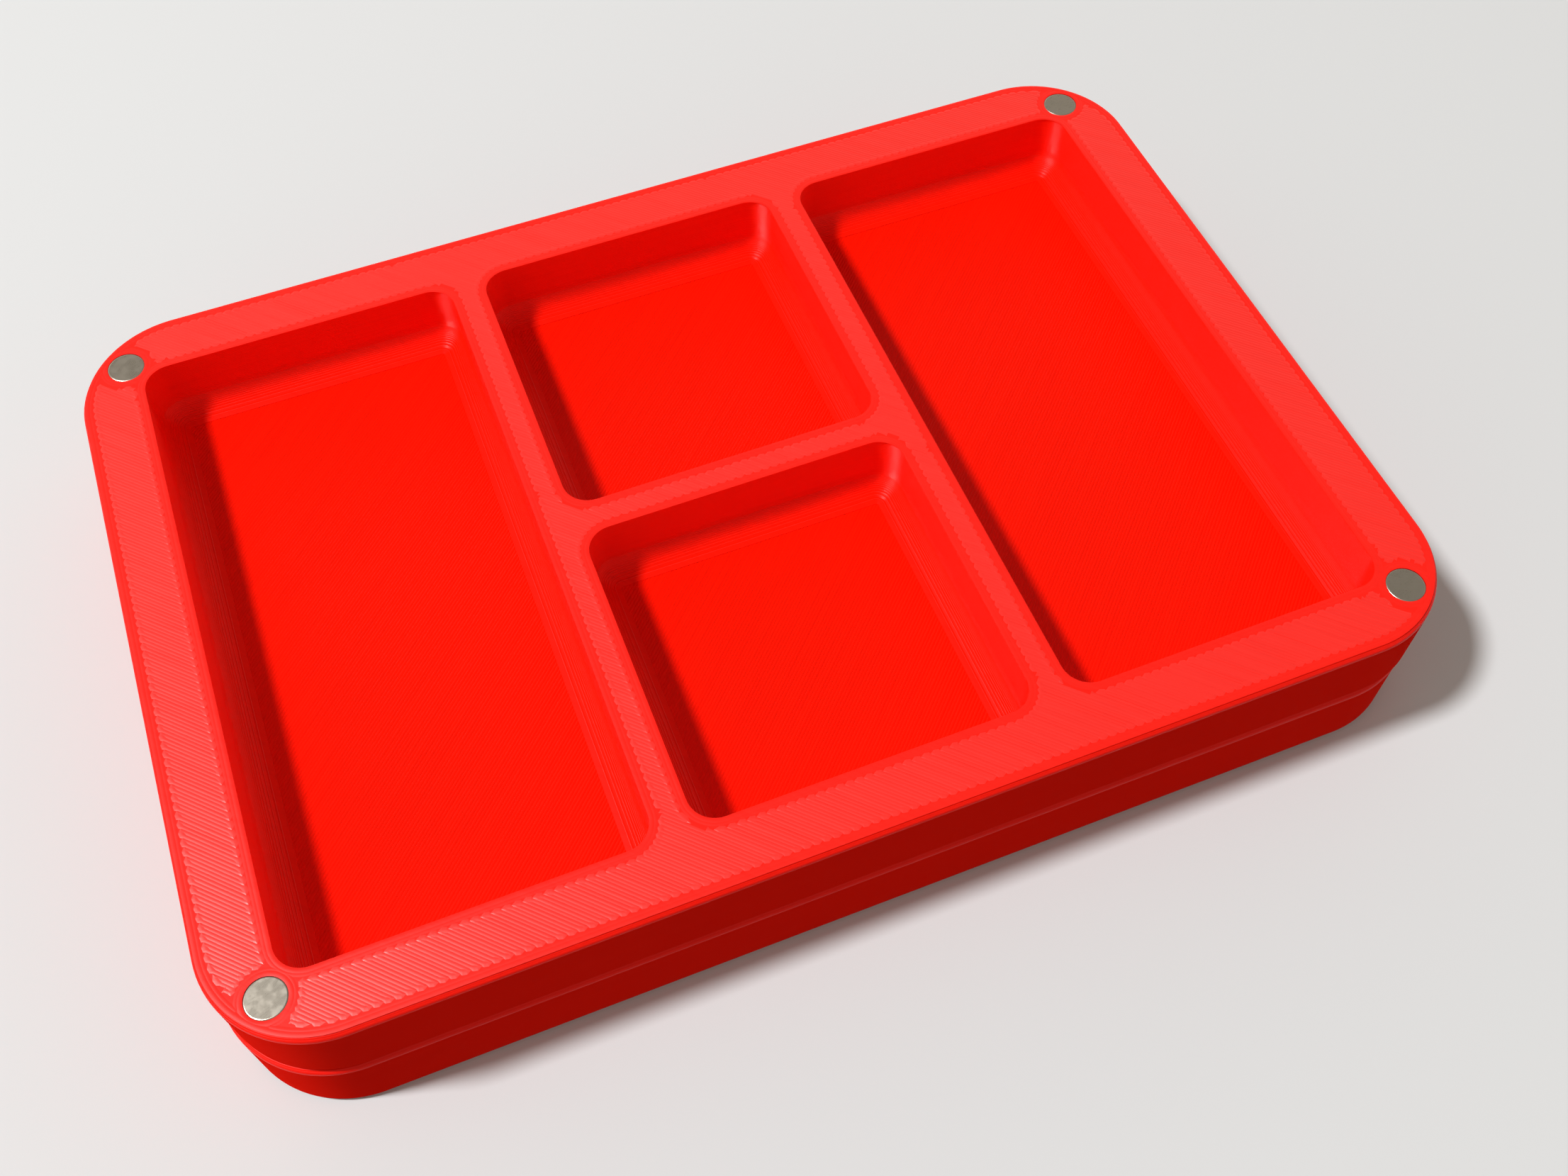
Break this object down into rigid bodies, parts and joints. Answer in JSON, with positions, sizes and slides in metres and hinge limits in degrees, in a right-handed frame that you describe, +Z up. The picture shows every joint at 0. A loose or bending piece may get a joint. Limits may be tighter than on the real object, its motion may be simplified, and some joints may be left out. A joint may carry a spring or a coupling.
{
  "type": "sorting tray",
  "caption": "Printed sorting tray with scooped, round-cornered compartments, stacked on its twin and held by disc magnets in the corners of rim and underside.",
  "frame": {"origin": "middle of the face that the stack stands on, the underside of the lower tray", "axes": "+X along the long side to the right, +Y to the back, +Z up out of the compartments"},
  "size_m": [0.1544, 0.107, 0.022],
  "materials": {
    "tray_plastic": "satin, with fine print lines",
    "magnet_nickel": "satin nickel plating"
  },
  "bodies": {
    "lower": {"lower_tray": "tray_plastic", "lower_rim_magnet_front_left": "magnet_nickel", "lower_rim_magnet_front_right": "magnet_nickel", "lower_rim_magnet_back_left": "magnet_nickel", "lower_rim_magnet_back_right": "magnet_nickel", "lower_base_magnet_front_left": "magnet_nickel", "lower_base_magnet_front_right": "magnet_nickel", "lower_base_magnet_back_left": "magnet_nickel", "lower_base_magnet_back_right": "magnet_nickel"},
    "upper": {"upper_tray": "tray_plastic", "upper_rim_magnet_front_left": "magnet_nickel", "upper_rim_magnet_front_right": "magnet_nickel", "upper_rim_magnet_back_left": "magnet_nickel", "upper_rim_magnet_back_right": "magnet_nickel", "upper_base_magnet_front_left": "magnet_nickel", "upper_base_magnet_front_right": "magnet_nickel", "upper_base_magnet_back_left": "magnet_nickel", "upper_base_magnet_back_right": "magnet_nickel"}
  },
  "joints": [
    {"name": "lift_off", "type": "slide", "parent": "lower", "child": "upper", "axis": [0, 0, 1], "range_m": [0, 0.06]}
  ]
}
